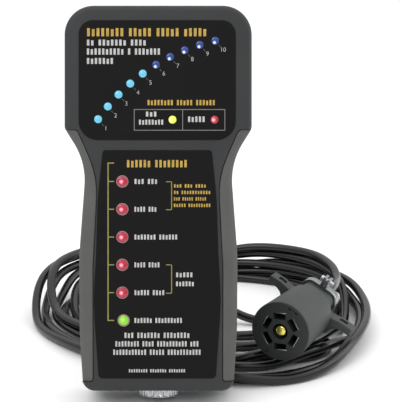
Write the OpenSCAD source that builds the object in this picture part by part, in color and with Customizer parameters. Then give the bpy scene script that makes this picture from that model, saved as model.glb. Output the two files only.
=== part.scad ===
// Handheld trailer brake and circuit tester leaning on its coiled harness.
// +X is to the right and +Z is up. The lit face looks towards -Y.
// The origin is on the floor, under the middle of the handset.

/* [Case] */
// Height of the case, without the cable receptacle
case_h = 263.2; // [255:0.2:275]
// Half the width across the head
head_half = 64; // [62:0.5:68]
// Half the width at the waist, where the two slopes would meet
waist_half = 49.6; // [48:0.2:52]
// Half the width of the lower case, at its widest
foot_half = 54.4; // [53.4:0.2:56]
// Height of the shoulder under the head
shoulder_h = 179; // [176:1:182]
// Thickness of the case from back to face
case_t = 42; // [40:1:46]
// Wall thickness of the two shells
wall = 2.5; // [2:0.1:3]
// Angle at which the handset leans back on the coil
lean = 13; // [8:1:16]

/* [Grips] */
// Thickness of the rubber grips
grip_t = 2.6; // [2.2:0.1:3]
// Half the gap between the two grips across the face
grip_inner = 44; // [43.4:0.2:45]

/* [Lamps] */
// Diameter of the small lamps
small_lamp_d = 5.4; // [4.6:0.1:5.6]
// Diameter of the circuit lamps
large_lamp_d = 7; // [6.6:0.1:7.6]
// Spacing of the force lamps along their arc
force_pitch = 10.9; // [10.4:0.1:11.2]
// Spacing of the circuit lamps
circuit_pitch = 18.9; // [18:0.1:19.2]

/* [Receptacle] */
// Outer radius of the cable receptacle
receptacle_r = 14; // [13.6:0.1:14.2]
// How far the receptacle stands below the case
receptacle_drop = 5.4; // [5:0.1:6]

/* [Harness] */
// Diameter of the cord
cord_d = 7.2; // [7:0.1:7.6]
// Outer radius of the coil of cord
coil_r = 140.6; // [138:0.2:141]
// Radius of the plug barrel
plug_r = 22.1; // [21.6:0.1:22.4]
// Length of the plug barrel
plug_len = 57; // [56:1:58]
// Turn of the plug about the vertical
plug_yaw = 25; // [22:1:27]
// Roll of the plug about its own axis
plug_roll = 28; // [26:1:31]

/* [Hidden] */
$fn = 48;

fit = 0.15;
seal_t = 0.8;
rear_t = 20;
side_wall = grip_t + wall + fit;
face_in = case_t - wall;
label_t = 0.4;
// The labels sit a little to the left of the middle
label_x = -0.5;
bezel_t = 0.7;
board_t = 1.6;
board_z = 30;
lamp_top = case_t + 1;
receptacle_in = 12.9;
insert_r = 11.4;
receptacle_z = case_t / 2;
boss_r = 4.4;
// Screw places in the case plane: foot, waist and head
screw_at = [for (p = [[39.4, 14], [36.5, 147], [50, 249]], s = [-1, 1]) [s * p.x, p.y]];
board_post_at = [for (p = [[39.5, 70], [47, 206]], s = [-1, 1]) [s * p.x, p.y]];
force_lamps = 10;
force_start = [-40.7, 185.3];
force_heading = 55;
force_turn = 4.7;
circuit_lamps_n = 5;
circuit_x = -24.2;
circuit_top = 143;
ground_at = [-23.3, circuit_top - circuit_lamps_n * circuit_pitch];
status_at = [9.9, 185];
power_at = [38.5, 185];
// Half the outer shape of the case: x, height and corner radius, from the foot up
case_half = [[foot_half - 2.8, 0, 9], [foot_half - 0.4, 40, 200], [foot_half, 92, 200],
    [waist_half, 156, 48], [head_half, shoulder_h, 8], [head_half, case_h, 20]];
// Half the inner edge of a grip
grip_half = [[grip_inner, 7, 2], [grip_inner + 0.2, 84, 200], [grip_inner - 3, 146, 60],
    [grip_inner + 11, 178, 3], [80, 178, 0], [80, 7, 0]];
upper_label_half = [[53.4, 171.2, 13], [53.4, 252.6, 9.5]];
lower_label_half = [[39.8, 9.1, 3], [43.5, 62, 200], [41.6, 92, 200], [40.4, 132, 200],
    [37, 164.2, 2]];

// Handset place: the receptacle's rear edge stands on the floor
stand_z = (receptacle_z + receptacle_r) * sin(lean) + receptacle_drop * cos(lean);
stand_y = -(case_t * cos(lean) + case_h * sin(lean)) / 2;

// Coil and plug places on the floor
coil_at = [29, 136.4];
coil_low = 14.4;
coil_high = 32;
coil_band = 15;
coil_hole_r = 83;
coil_hole_at = [34, 178.7];
plug_at = [86.1, 6.2, coil_low + plug_r + 0.1];
plug_rear_r = 20;
// Neck behind the barrel, and where the clamp's straps lie on it
clamp_len = 18;
strap_at = plug_len + 10;
strap_w = 7.4;
strap_t = 2.2;
// Reach of the clamp's ears from the plug axis, above and below
ear_high = 26;
ear_low = 21.5;
grommet_len = 20;
plug_back = plug_len + clamp_len + grommet_len;
connector_at = [-22, 196, 16.8];
connector_yaw = -40;
ring_len = 16;
ring_r = 16.5;
shell_len = 34;
nut_len = 12;
boot_len = 30;
// Cord from the connector to the coil
near_route = [[36.2, 147.1, 16.8], [43, 141.4, 15.8], [50, 136.2, 12.6], [58, 132, 8.6],
    [66, 130, 5.4], [74, 129.2, 3.9], [84, 127.8, 3.6], [94, 124, 3.6], [104, 117.6, 3.6]];
// Cord from the plug to the coil
plug_route = [[126.2, 92.3, 36.6], [132.2, 105.4, 36.2], [137.4, 124, 34.4],
    [141.7, 145, 31], [144.9, 167, 27.4], [146, 187, 24.5]];

function unit(v) = v / norm(v);
function flat(lists) = [for (l = lists, p = l) p];
function half_turn(a) = a > 180 ? a - 360 : a < -180 ? a + 360 : a;
function corner(a, b, c, r) = r <= 0 ? [b] :
    let (u = unit(a - b), v = unit(c - b), half = acos(u * v) / 2,
        o = b + unit(u + v) * r / sin(half),
        s = b + u * r / tan(half) - o, e = b + v * r / tan(half) - o,
        a0 = atan2(s.y, s.x), sweep = half_turn(atan2(e.y, e.x) - a0),
        n = max(2, ceil(abs(sweep) / 11)))
    [for (i = [0:n]) o + r * [cos(a0 + sweep * i / n), sin(a0 + sweep * i / n)]];
function rounded(p) = let (n = len(p), q = [for (v = p) [v.x, v.y]])
    flat([for (i = [0:n - 1]) corner(q[(i + n - 1) % n], q[i], q[(i + 1) % n], p[i][2])]);
function both_sides(half) = concat(half,
    [for (i = [len(half) - 1:-1:0]) [-half[i].x, half[i].y, half[i][2]]]);
// The case outline moved inwards by d
function inset_half(d) = [for (i = [0:5]) let (v = case_half[i])
    [v.x - d, v.y + (i == 0 ? d : i == 5 ? -d : i > 2 ? 0.28 * d : 0),
     i == 3 ? v[2] + d : max(v[2] - d, 1)]];
function force_at(i) = i == 0 ? force_start :
    force_at(i - 1) + force_pitch * [cos(force_heading - force_turn * (i - 0.5)),
        sin(force_heading - force_turn * (i - 0.5))];
force_places = [for (i = [0:force_lamps - 1]) force_at(i)];
circuit_places = [for (i = [0:circuit_lamps_n - 1]) [circuit_x, circuit_top - i * circuit_pitch]];

// Case frame: x to the right, y up the case, z from the back to the face
module on_handset() {
    translate([0, stand_y, stand_z]) rotate([90 - lean, 0, 0]) translate([0, 0, -case_t])
        children();
}
// Plug frame: y from the face to the rear, z towards the key
module on_plug() {
    translate(plug_at) rotate([0, 0, -plug_yaw]) rotate([0, plug_roll, 0]) children();
}
// Connector frame: z along the axis, from the mating face to the cord
module on_connector() {
    translate(connector_at) rotate([0, 0, connector_yaw]) rotate([0, 90, 0]) children();
}
module slab(half, z0, z1) {
    translate([0, 0, z0]) linear_extrude(z1 - z0) polygon(rounded(both_sides(half)));
}
module case_slab(d, z0, z1) {
    slab(inset_half(d), z0, z1);
}
module up_case(x, y, z) {
    translate([x, y, z]) rotate([-90, 0, 0]) children();
}
module along_plug(y) {
    translate([0, y, 0]) rotate([-90, 0, 0]) children();
}
module posts(places, r, z0, z1) {
    for (p = places) translate([p.x, p.y, z0]) cylinder(r = r, h = z1 - z0);
}
module tube(r, bore_r, h) {
    difference() {
        cylinder(r = r, h = h);
        translate([0, 0, -1]) cylinder(r = bore_r, h = h + 2);
    }
}
module rod(p, q, r) {
    d = q - p;
    translate(p) rotate([0, acos(d.z / norm(d)), atan2(d.y, d.x)]) cylinder(r = r, h = norm(d));
}
module grip_plan(gap) {
    intersection() {
        polygon(rounded([for (v = grip_half) [v.x - gap, v.y + (v.y < 90 ? -gap : gap), v[2]]]));
        polygon(rounded(both_sides(case_half)));
    }
}
// The rubber channel along one side, grown by gap where the shells are cut for it
module grip_channel(gap) {
    lip = grip_t + gap;
    difference() {
        translate([0, 0, -gap]) linear_extrude(case_t + 2 * gap) grip_plan(gap);
        case_slab(lip, lip, case_t - lip);
    }
}
module both_grips(gap) {
    for (s = [0, 1]) mirror([s, 0, 0]) grip_channel(gap);
}
module lamp_holes(clear) {
    small_r = small_lamp_d / 2 + clear;
    large_r = large_lamp_d / 2 + bezel_t + clear;
    posts(concat(force_places, [status_at, power_at]), small_r, board_z, case_t + 5);
    posts(concat(circuit_places, [ground_at]), large_r, board_z, case_t + 5);
}
module receptacle_hole() {
    up_case(0, -1, receptacle_z) cylinder(r = receptacle_in + 0.1, h = side_wall + 2);
}

module front_shell() {
    color([0.27, 0.27, 0.275]) on_handset() difference() {
        union() {
            difference() {
                case_slab(0, rear_t + seal_t, case_t);
                case_slab(side_wall, rear_t, face_in - grip_t);
                slab([[36, 12, 3], [36, 166, 3]], 30, face_in);
                slab([[56, 182, 3], [56, 252, 10]], 30, face_in);
            }
            posts(screw_at, boss_r, rear_t + seal_t, face_in - grip_t + 0.5);
        }
        both_grips(fit);
        posts(screw_at, 1.6, rear_t, 34);
        lamp_holes(fit);
        receptacle_hole();
    }
}
module rear_shell() {
    color([0.25, 0.25, 0.255]) on_handset() difference() {
        union() {
            difference() {
                case_slab(0, 0, rear_t);
                case_slab(side_wall, grip_t + wall, rear_t + 1);
            }
            posts(screw_at, boss_r + 0.6, 0, rear_t);
            posts(board_post_at, 3.4, 1, board_z - board_t);
        }
        both_grips(fit);
        posts(screw_at, 1.9, -1, rear_t + 1);
        posts(screw_at, 3.9, -1, 3.4);
        posts(board_post_at, 1.3, 14, board_z);
        receptacle_hole();
    }
}
module case_seal() {
    color([0.08, 0.08, 0.08]) on_handset() difference() {
        case_slab(grip_t + fit + 0.2, rear_t, rear_t + seal_t);
        case_slab(side_wall - 0.5, rear_t - 1, rear_t + 2);
        receptacle_hole();
    }
}
module grip_right() {
    color([0.4, 0.4, 0.39]) on_handset() grip_channel(0);
}
module grip_left() {
    color([0.4, 0.4, 0.39]) on_handset() mirror([1, 0, 0]) grip_channel(0);
}
module upper_label() {
    color([0.12, 0.11, 0.11]) on_handset() difference() {
        translate([label_x, 0, 0]) slab(upper_label_half, case_t, case_t + label_t);
        lamp_holes(0.1);
    }
}
module lower_label() {
    color([0.12, 0.11, 0.11]) on_handset() difference() {
        translate([label_x, 0, 0]) slab(lower_label_half, case_t, case_t + label_t);
        lamp_holes(0.1);
    }
}
module circuit_board() {
    color([0.05, 0.3, 0.15]) on_handset() difference() {
        case_slab(side_wall + 1.5, board_z - board_t, board_z);
        posts(screw_at, boss_r + 0.8, 20, 40);
        posts(board_post_at, 1.7, 20, 40);
        translate([-20, -1, 20]) cube([40, 22, 20]);
    }
}
module lamp(d) {
    r = d / 2;
    translate([0, 0, board_z]) cylinder(r = r, h = lamp_top - r - board_z);
    intersection() {
        translate([0, 0, lamp_top - r]) sphere(r = r);
        translate([0, 0, lamp_top - r]) cylinder(r = r, h = r);
    }
}
module lamps(places, d) {
    for (p = places) translate([p.x, p.y, 0]) lamp(d);
}
module brake_force_lamps() {
    color([0.2, 0.5, 0.85]) on_handset()
        lamps(force_places, small_lamp_d);
}
module circuit_lamps() {
    color([0.8, 0.1, 0.25]) on_handset()
        lamps(circuit_places, large_lamp_d);
}
module ground_lamp() {
    color([0.5, 0.85, 0.2]) on_handset() lamps([ground_at], large_lamp_d);
}
module status_lamp() {
    color([0.88, 0.94, 0.3]) on_handset() lamps([status_at], small_lamp_d);
}
module power_lamp() {
    color([0.8, 0.1, 0.25]) on_handset() lamps([power_at], small_lamp_d);
}
module lamp_bezels() {
    color([0.5, 0.3, 0.33]) on_handset()
        for (p = concat(circuit_places, [ground_at])) translate([p.x, p.y, face_in - grip_t])
            tube(large_lamp_d / 2 + bezel_t, large_lamp_d / 2, 5.9);
}
module heat_spreader() {
    color([0.75, 0.76, 0.78]) on_handset() translate([-32, 48, grip_t + wall]) cube([64, 92, 3]);
}
module load_resistors() {
    color([0.8, 0.62, 0.25]) on_handset()
        for (i = [0:2]) translate([-24, 51 + 30 * i, grip_t + wall + 3]) {
            cube([48, 26, 3]);
            translate([0, 5, 3]) cube([48, 16, 9]);
        }
}
module control_chip() {
    color([0.1, 0.1, 0.1]) on_handset() translate([-8, 196, board_z - board_t - 2.4])
        cube([16, 16, 2.4]);
}
module drive_transistors() {
    color([0.12, 0.12, 0.13]) on_handset()
        for (i = [0:3]) translate([-29 + 16 * i, 172, board_z - board_t - 4.5]) cube([10, 15, 4.5]);
}
module terminal_block() {
    color([0.1, 0.45, 0.25]) on_handset() translate([-18, 34, board_z - board_t - 10])
        cube([36, 9, 10]);
}
module wire_loom() {
    color([0.7, 0.55, 0.1]) on_handset()
        for (i = [0:6]) rod([pin_at(i).x, 16, receptacle_z + pin_at(i).y],
            [pin_at(i).x * 2, 34, board_z - board_t - 5 + pin_at(i).y / 3], 0.9);
}
module screw(head_r, head_h, shank_r, shank_h) {
    difference() {
        cylinder(r = head_r, h = head_h);
        translate([0, 0, -1]) cylinder(r = head_r * 0.45, h = head_h * 0.6 + 1, $fn = 6);
    }
    translate([0, 0, head_h]) cylinder(r = shank_r, h = shank_h);
}
module case_screws() {
    color([0.2, 0.2, 0.21]) on_handset()
        for (p = screw_at) translate([p.x, p.y, 0.9]) screw(3.6, 2.5, 1.6, 28);
}
module board_screws() {
    color([0.6, 0.6, 0.62]) on_handset()
        for (p = board_post_at) translate([p.x, p.y, board_z + 2]) mirror([0, 0, 1])
            screw(2.8, 2, 1.3, 12);
}
function pin_at(i) = i == 6 ? [0, 0] : 7 * [cos(60 * i), sin(60 * i)];
module receptacle_shell() {
    color([0.74, 0.75, 0.77]) on_handset() up_case(0, -receptacle_drop, receptacle_z)
        difference() {
            union() {
                cylinder(r = receptacle_r, h = receptacle_drop);
                cylinder(r = receptacle_in, h = receptacle_drop + 15);
            }
            translate([0, 0, -1]) cylinder(r = insert_r, h = receptacle_drop + 20);
        }
}
module receptacle_insert() {
    color([0.08, 0.08, 0.09]) on_handset() up_case(0, -1.4, receptacle_z)
        difference() {
            cylinder(r = insert_r, h = 14.4);
            for (i = [0:6]) translate([pin_at(i).x, -pin_at(i).y, -1]) cylinder(r = 1.3, h = 20);
        }
}
module receptacle_pins() {
    color([0.85, 0.7, 0.3]) on_handset()
        for (i = [0:6]) up_case(pin_at(i).x, -receptacle_drop + 0.8, receptacle_z + pin_at(i).y)
            cylinder(r = 1.3, h = receptacle_drop + 15.2);
}
module receptacle_nut() {
    color([0.7, 0.71, 0.73]) on_handset() up_case(0, side_wall + 1, receptacle_z)
        difference() {
            cylinder(r = 18, h = 5, $fn = 6);
            translate([0, 0, -1]) cylinder(r = receptacle_in, h = 7);
        }
}
module receptacle_seal() {
    color([0.06, 0.06, 0.06]) on_handset() up_case(0, side_wall, receptacle_z)
        tube(15.4, receptacle_in, 1);
}

// Tube swept along a route, one ring at each route point
function heading(route, i) = unit(route[min(i + 1, len(route) - 1)] - route[max(i - 1, 0)]);
function route_ring(route, i, r, sides) =
    let (t = heading(route, i), s = unit(cross(t, [0, 0, 1])), u = cross(s, t))
    [for (k = [0:sides - 1]) route[i] + r * (cos(360 * k / sides) * s + sin(360 * k / sides) * u)];
module swept(route, r, sides) {
    n = len(route);
    points = flat([for (i = [0:n - 1]) route_ring(route, i, r, sides)]);
    walls = [for (i = [0:n - 2], k = [0:sides - 1]) let (m = (k + 1) % sides)
        [i * sides + k, (i + 1) * sides + k, (i + 1) * sides + m, i * sides + m]];
    ends = [[for (k = [0:sides - 1]) k], [for (k = [sides - 1:-1:0]) (n - 1) * sides + k]];
    polyhedron(points, concat(walls, ends), convexity = 4);
}
module cord_coil() {
    color([0.1, 0.1, 0.1]) {
        difference() {
            translate([coil_at.x, coil_at.y, 0]) cylinder(r = coil_r, h = coil_low);
            translate([coil_hole_at.x, coil_hole_at.y, -1]) cylinder(r = coil_hole_r, h = 40);
        }
        translate([coil_at.x, coil_at.y, 0]) rotate([0, 0, 15]) rotate_extrude(angle = 150)
            translate([coil_r - coil_band, coil_low - 1])
                square([coil_band - 1, coil_high - coil_low + 1]);
    }
}
module near_lead() {
    color([0.12, 0.12, 0.12]) swept(near_route, cord_d / 2, 12);
}
module plug_lead() {
    color([0.12, 0.12, 0.12]) swept(plug_route, cord_d / 2, 12);
}

// One latch wing seen along the plug, x outwards and y towards the key
wing_half = [[12, 7.2, 0], [37.2, 7.4, 1], [37.4, 1.8, 1.4], [28, 1.2, 6], [20.8, -7.8, 2],
    [12, -7.8, 0]];
wing_low = 55;
wing_len = 11;
module wing() {
    difference() {
        translate([0, wing_low + wing_len, 0]) rotate([90, 0, 0]) linear_extrude(wing_len)
            polygon(rounded(wing_half));
        translate([24.6, wing_low + 3.5, -10]) cube([7, 4.5, 30]);
    }
}
// Strap outline across the plug axis, smaller by d. The neck inside it has the same shape.
module strap_plan(d) {
    polygon(rounded(both_sides([[15.5 - d, d - 18.5, 8 - d], [15.5 - d, 17 - d, 8 - d]])));
}
module plug_housing() {
    color([0.39, 0.4, 0.395]) on_plug() difference() {
        union() {
            along_plug(flange_t) cylinder(r1 = plug_r, r2 = plug_rear_r, h = plug_len - flange_t);
            along_plug(plug_len) linear_extrude(clamp_len) strap_plan(strap_t);
            for (s = [0, 1]) mirror([s, 0, 0]) wing();
        }
        along_plug(-1) cylinder(r = insert_body_r, h = 31);
        along_plug(29) cylinder(r = 17, h = plug_len - 34);
        along_plug(plug_len - 6) cylinder(r = 11, h = 40);
        translate([0, 12, -plug_r - 2]) cylinder(r = 1.7, h = 10);
    }
}
flange_t = 1.2;
insert_body_r = plug_r - 2.4;
slot_w = 9.2;
slot_d = 4.4;
slot_r = 11.2;
blade_w = 10.2;
blade_t = 0.8;
module blade_slots(y, h) {
    for (i = [0:5]) rotate([0, 60 * i, 0])
        translate([slot_r + slot_d / 2, y, -blade_w / 2]) cube([blade_t, h, blade_w]);
}
module plug_slots(depth) {
    for (i = [0:5]) rotate([0, 60 * i, 0])
        translate([slot_r - slot_d / 2, -1, -slot_w / 2]) cube([slot_d, depth + 1, slot_w]);
    blade_slots(-1, depth + 1);
}
module plug_insert() {
    color([0.2, 0.22, 0.21]) on_plug() difference() {
        union() {
            along_plug(0) cylinder(r = plug_r - 0.3, h = flange_t);
            along_plug(0) cylinder(r = insert_body_r, h = 30);
        }
        plug_slots(16);
        along_plug(-1) cylinder(r = 5.9, h = 15);
        along_plug(-1) cylinder(r = 2.2, h = 40);
        translate([-3, -1, 18.6]) cube([6, 2, 1.6]);
        translate([0, 12, -plug_r]) cylinder(r = 1.1, h = 8);
    }
}
module plug_blades() {
    color([0.72, 0.73, 0.72]) on_plug() blade_slots(0.4, 15.6);
}
module plug_centre_pin() {
    color([0.85, 0.78, 0.4]) on_plug() {
        along_plug(0.8) cylinder(r = 4.1, h = 13.2);
        along_plug(14) cylinder(r = 2.2, h = 18);
    }
}
ear_edge = 2.1;
clamp_screw_z = [ear_high - ear_edge - 0.9, ear_edge - ear_low];
module clamp_half() {
    difference() {
        union() {
            along_plug(strap_at) linear_extrude(strap_w) strap_plan(0);
            translate([0.6, strap_at, -ear_low]) cube([2.2, strap_w, ear_low + ear_high]);
        }
        along_plug(strap_at - 1) linear_extrude(strap_w + 2) strap_plan(strap_t);
        translate([-39.4, strap_at - 1, -40]) cube([40, 30, 80]);
        for (z = clamp_screw_z) translate([-10, strap_at + strap_w / 2, z]) rotate([0, 90, 0])
            cylinder(r = 1.7, h = 30);
    }
}
module plug_clamp_right() {
    color([0.8, 0.83, 0.84]) on_plug() clamp_half();
}
module plug_clamp_left() {
    color([0.8, 0.83, 0.84]) on_plug() mirror([1, 0, 0]) clamp_half();
}
module plug_clamp_screws() {
    color([0.85, 0.86, 0.88]) on_plug()
        for (z = clamp_screw_z) translate([-5.2, strap_at + strap_w / 2, z]) rotate([0, 90, 0])
            screw(2.1, 2.4, 1.6, 8.4);
}
module plug_grommet() {
    color([0.09, 0.09, 0.09]) on_plug() difference() {
        union() {
            along_plug(plug_len - 3) cylinder(r = 10.9, h = clamp_len + 3);
            along_plug(plug_len + clamp_len) cylinder(r1 = 10.9, r2 = 4.8, h = grommet_len);
        }
        along_plug(plug_len - 6) cylinder(r = cord_d / 2, h = 80);
    }
}
module insert_screw() {
    color([0.7, 0.7, 0.72]) on_plug() translate([0, 12, -plug_r + 0.2]) screw(1.6, 1.5, 1.1, 4);
}

module connector_shell() {
    color([0.7, 0.71, 0.73]) on_connector() difference() {
        union() {
            cylinder(r = 13.1, h = 20);
            translate([0, 0, 9]) cylinder(r = 13.9, h = 4.6);
            translate([0, 0, ring_len + 0.4]) cylinder(r = 14.4, h = shell_len - ring_len - 0.4);
        }
        translate([0, 0, -1]) cylinder(r = insert_r, h = 25);
        translate([0, 0, 20]) cylinder(r = 9, h = 30);
    }
}
module connector_insert() {
    color([0.09, 0.09, 0.1]) on_connector() difference() {
        translate([0, 0, 1.2]) cylinder(r = insert_r, h = 18);
        for (i = [0:6]) translate([pin_at(i).y, pin_at(i).x, 0]) cylinder(r = 2, h = 30);
    }
}
module connector_contacts() {
    color([0.85, 0.7, 0.3]) on_connector()
        for (i = [0:6]) translate([pin_at(i).y, pin_at(i).x, 1.6]) difference() {
            cylinder(r = 2, h = 19);
            translate([0, 0, -1]) cylinder(r = 1.35, h = 15);
        }
}
module backshell_nut() {
    color([0.66, 0.67, 0.69]) on_connector() difference() {
        translate([0, 0, shell_len]) cylinder(r = 13.4, h = nut_len, $fn = 6);
        translate([0, 0, shell_len - 1]) cylinder(r = 8.6, h = nut_len + 2);
    }
}
module connector_boot() {
    color([0.09, 0.09, 0.09]) on_connector() difference() {
        union() {
            translate([0, 0, shell_len]) cylinder(r = 8.6, h = nut_len);
            translate([0, 0, shell_len + nut_len])
                cylinder(r1 = 9.6, r2 = 4.8, h = boot_len);
        }
        translate([0, 0, 20]) cylinder(r = cord_d / 2, h = 80);
    }
}
module coupling_ring() {
    color([0.78, 0.79, 0.8]) on_connector() difference() {
        cylinder(r = ring_r, h = ring_len);
        translate([0, 0, -1]) cylinder(r = receptacle_r + 0.2, h = ring_len - 1);
        cylinder(r = 13.2, h = 30);
    }
}

front_shell();
rear_shell();
case_seal();
grip_left();
grip_right();
upper_label();
lower_label();
circuit_board();
brake_force_lamps();
circuit_lamps();
ground_lamp();
status_lamp();
power_lamp();
lamp_bezels();
heat_spreader();
load_resistors();
control_chip();
drive_transistors();
terminal_block();
wire_loom();
case_screws();
board_screws();
receptacle_shell();
receptacle_insert();
receptacle_pins();
receptacle_nut();
receptacle_seal();
cord_coil();
near_lead();
plug_lead();
plug_housing();
plug_insert();
plug_blades();
plug_centre_pin();
plug_clamp_right();
plug_clamp_left();
plug_clamp_screws();
plug_grommet();
insert_screw();
connector_shell();
connector_insert();
connector_contacts();
backshell_nut();
connector_boot();
coupling_ring();
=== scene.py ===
import math
import bmesh
import bpy
import numpy as np
from mathutils import Matrix, Vector


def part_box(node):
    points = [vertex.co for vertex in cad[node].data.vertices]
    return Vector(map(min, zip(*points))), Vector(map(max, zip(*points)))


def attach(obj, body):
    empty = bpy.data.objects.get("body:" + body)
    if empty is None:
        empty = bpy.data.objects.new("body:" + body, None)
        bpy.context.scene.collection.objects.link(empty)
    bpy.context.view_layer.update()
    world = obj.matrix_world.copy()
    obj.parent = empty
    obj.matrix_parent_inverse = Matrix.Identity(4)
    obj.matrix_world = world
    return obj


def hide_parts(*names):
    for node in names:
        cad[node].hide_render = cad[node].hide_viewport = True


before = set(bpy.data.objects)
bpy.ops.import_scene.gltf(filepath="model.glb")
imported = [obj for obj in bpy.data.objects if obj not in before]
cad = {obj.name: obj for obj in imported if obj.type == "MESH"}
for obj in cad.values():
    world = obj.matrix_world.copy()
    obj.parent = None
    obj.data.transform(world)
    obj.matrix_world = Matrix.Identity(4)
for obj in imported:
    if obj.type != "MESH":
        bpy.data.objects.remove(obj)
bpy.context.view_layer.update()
scene = bpy.context.scene

# Every size below is in millimetres, and place matrices turn them into the frame's metres.
MM = 0.001

# ---------------------------------------------------------------- sizes of the design
CASE_H = 263.2
CASE_T = 42
HEAD_HALF = 64
WAIST_HALF = 49.6
FOOT_HALF = 54.4
SHOULDER_H = 179
REAR_T = 20
SEAL_T = 0.8
LEAN = math.radians(13)
GRIP_T = 2.6
GRIP_TOP = 178
GRIP_FOOT = 7
LABEL_TOP = CASE_T + 0.4
RECEPTACLE_Z = CASE_T / 2
RECEPTACLE_R = 14
RECEPTACLE_DROP = 5.4
INSERT_R = 11.4
SMALL_LAMP_R = 2.7
LARGE_LAMP_R = 3.5
BEZEL_T = 0.7
FORCE_START = (-40.7, 185.3)
FORCE_PITCH = 10.9
FORCE_HEADING = 55
FORCE_TURN = 4.7
CIRCUIT_PITCH = 18.9
CIRCUIT_PLACES = [(-24.2, 143 - CIRCUIT_PITCH * i) for i in range(5)]
GROUND_PLACE = (-23.3, 143 - CIRCUIT_PITCH * 5)
STATUS_PLACE = (9.9, 185)
POWER_PLACE = (38.5, 185)
PRINT_X = -0.6
SCREW_PLACES = [(s * x, w) for x, w in ((39.4, 14), (36.5, 147), (50, 249)) for s in (-1, 1)]
# Half outlines: x, height and corner radius, from the foot up
CASE_HALF = [(FOOT_HALF - 2.8, 0, 9), (FOOT_HALF - 0.4, 40, 200), (FOOT_HALF, 92, 200),
             (WAIST_HALF, 156, 48), (HEAD_HALF, SHOULDER_H, 8), (HEAD_HALF, CASE_H, 20)]
GRIP_OUTLINE = [(44, GRIP_FOOT, 2), (80, GRIP_FOOT, 0), (80, GRIP_TOP, 0), (55, GRIP_TOP, 3),
                (41, 146, 60), (44.2, 84, 200)]

PLUG_R = 22.1
PLUG_REAR_R = 20
PLUG_LEN = 57
PLUG_AT = (86.1, 6.2, 36.6)
PLUG_YAW = math.radians(25)
PLUG_ROLL = math.radians(28)
FLANGE_T = 1.2
CLAMP_LEN = 18
STRAP_T = 2.2
GROMMET_LEN = 20
CONNECTOR_AT = (-22, 196, 16.8)
CONNECTOR_YAW = math.radians(-40)
SHELL_LEN = 34
NUT_LEN = 12
BOOT_LEN = 30
RING_LEN = 16
RING_R = 16.5

# ---------------------------------------------------------------- the cord's route
CORD_D = 7.2
CORD_REST = CORD_D / 2
COME_DOWN = 90
CORD_EXIT = (36.2, 147.1, 16.8)
NEAR_ROUTE = [CORD_EXIT, (43, 141.4, 15.8), (50, 136.2, 12.6), (58, 132, 8.6), (66, 130, 5.4),
              (74, 129.2, 3.9), (84, 127.8, 3.6), (94, 124, 3.6), (104, 117.6, 3.6)]
INNER_ROUTE = [(113, 109), (121, 98), (127, 85), (130, 70), (128, 58), (121, 48),
               (110, 41), (98, 39), (84, 39)]
PLUG_ROUTE = [(126.2, 92.3, 36.6), (132.2, 105.4, 36.2), (137.4, 124, 34.4),
              (141.7, 145, 31), (144.9, 167, 27.4), (146, 187, 24.5)]
# Where the turns reach furthest back, how far back they're widest, and the shape of a corner
BACK_X = 34
WIDEST = 0.55
BACK_LEFT = 1.85
# Each turn: how far right, forward and left it reaches, the back that it comes from, how
# square its front left quarter is, and where it comes furthest forward
TURNS = [(131, 40, -87, 265, 1.8, 60), (139, 92, -71, 257, 2.6, 60),
         (147, 67, -79, 273, 2.4, 60), (164, 22, -94, 265.3, 1.7, 64),
         (161, -1, -102, 265.3, 1.7, 66), (166, -8, -109, 273, 1.7, 70),
         (151, 32, -98, 273, 1.7, 60)]
LAST_RIGHT = 152
LAST_BACK = 265.3
ROUTE_STEP = 4


# ---------------------------------------------------------------- places
def case_place():
    """Case frame to metres: x to the right, y up the case, z from the back to the face."""
    low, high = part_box("front_shell")
    c = math.cos(LEAN)
    s = math.sin(LEAN)
    foot_y = low.y / MM
    foot_z = high.z / MM - CASE_H * c
    turn = Matrix(((1, 0, 0, 0), (0, s, -c, foot_y + CASE_T * c),
                   (0, c, s, foot_z - CASE_T * s), (0, 0, 0, 1)))
    return Matrix.Scale(MM, 4) @ turn


def plug_place():
    """Plug frame to metres: y from the face to the rear, z towards the key."""
    turn = Matrix.Rotation(-PLUG_YAW, 4, "Z") @ Matrix.Rotation(PLUG_ROLL, 4, "Y")
    return Matrix.Scale(MM, 4) @ Matrix.Translation(PLUG_AT) @ turn


def connector_place():
    """Connector frame to metres: z along its axis, from the mating face to the cord."""
    turn = Matrix.Rotation(CONNECTOR_YAW, 4, "Z") @ Matrix.Rotation(math.pi / 2, 4, "Y")
    return Matrix.Scale(MM, 4) @ Matrix.Translation(CONNECTOR_AT) @ turn


CASE = case_place()
PLUG = plug_place()
CONNECTOR = connector_place()
# Turns a solid that was revolved about z so that its axis runs along y
ALONG_Y = Matrix.Rotation(-math.pi / 2, 4, "X")


# ---------------------------------------------------------------- camera
def make_camera():
    """Looks square at the tester's face from 0.84 m."""
    distance = 837
    aim = CASE @ Vector((28.6, 129.7, CASE_T))
    normal = (CASE.to_3x3() @ Vector((0, 0, 1))).normalized()
    data = bpy.data.cameras.new("camera")
    data.lens = 110.2
    data.sensor_width = 36
    data.clip_start = 0.01
    data.clip_end = 20
    camera = bpy.data.objects.new("camera", data)
    camera.location = aim + normal * distance * MM
    camera.rotation_mode = "QUATERNION"
    camera.rotation_quaternion = (-normal).to_track_quat("-Z", "Y")
    scene.collection.objects.link(camera)
    scene.camera = camera


# ---------------------------------------------------------------- cord
def quarter(middle, reach, start, end, squareness=2):
    """Points clockwise along a quarter turn. Squareness 2 makes it part of an ellipse."""
    a = np.radians(np.linspace(start, end, int(abs(end - start) / 3), endpoint=False))
    power = 2 / squareness
    x = middle[0] + (reach[0] - middle[0]) * np.abs(np.cos(a)) ** power
    y = middle[1] + (reach[1] - middle[1]) * np.abs(np.sin(a)) ** power
    return list(zip(x, y))


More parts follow.
